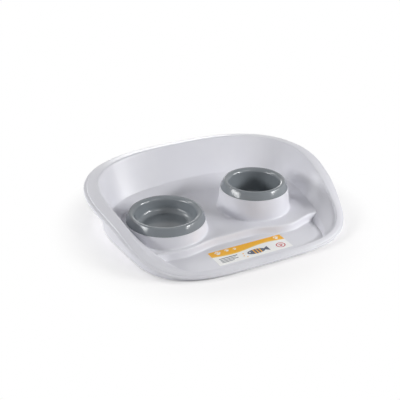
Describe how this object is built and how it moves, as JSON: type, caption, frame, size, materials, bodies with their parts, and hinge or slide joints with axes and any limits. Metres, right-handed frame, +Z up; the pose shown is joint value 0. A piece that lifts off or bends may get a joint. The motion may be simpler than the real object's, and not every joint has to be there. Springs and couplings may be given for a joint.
{
  "type": "double pet bowl",
  "caption": "Low moulded feeding tray with a wrap-around splash guard and a wave-edged shelf, carrying a wide shallow bowl and a narrower deep bowl that lift out of round collars.",
  "frame": {"origin": "middle of the footprint, on the surface that the feet stand on", "axes": "+X across the width, from the food bowl to the water bowl; +Y from the low front lip to the high back; +Z up"},
  "size_m": [0.481, 0.3766, 0.097],
  "materials": {
    "tray": "glossy white moulded plastic, very faintly cool",
    "bowl": "glossy mid-grey moulded plastic",
    "label": "printed paper label, white and orange",
    "foot": "soft grey rubber"
  },
  "bodies": {
    "tray": {"tray": "tray", "label": "label", "front_left_foot": "foot", "front_right_foot": "foot", "rear_left_foot": "foot", "rear_right_foot": "foot"},
    "food_bowl": {"food_bowl": "bowl"},
    "water_bowl": {"water_bowl": "bowl"}
  },
  "joints": [
    {"name": "food_bowl_lift", "type": "slide", "parent": "tray", "child": "food_bowl", "axis": [0, 0, 1], "range_m": [0, 0.1]},
    {"name": "water_bowl_lift", "type": "slide", "parent": "tray", "child": "water_bowl", "axis": [0, 0, 1], "range_m": [0, 0.1]}
  ]
}
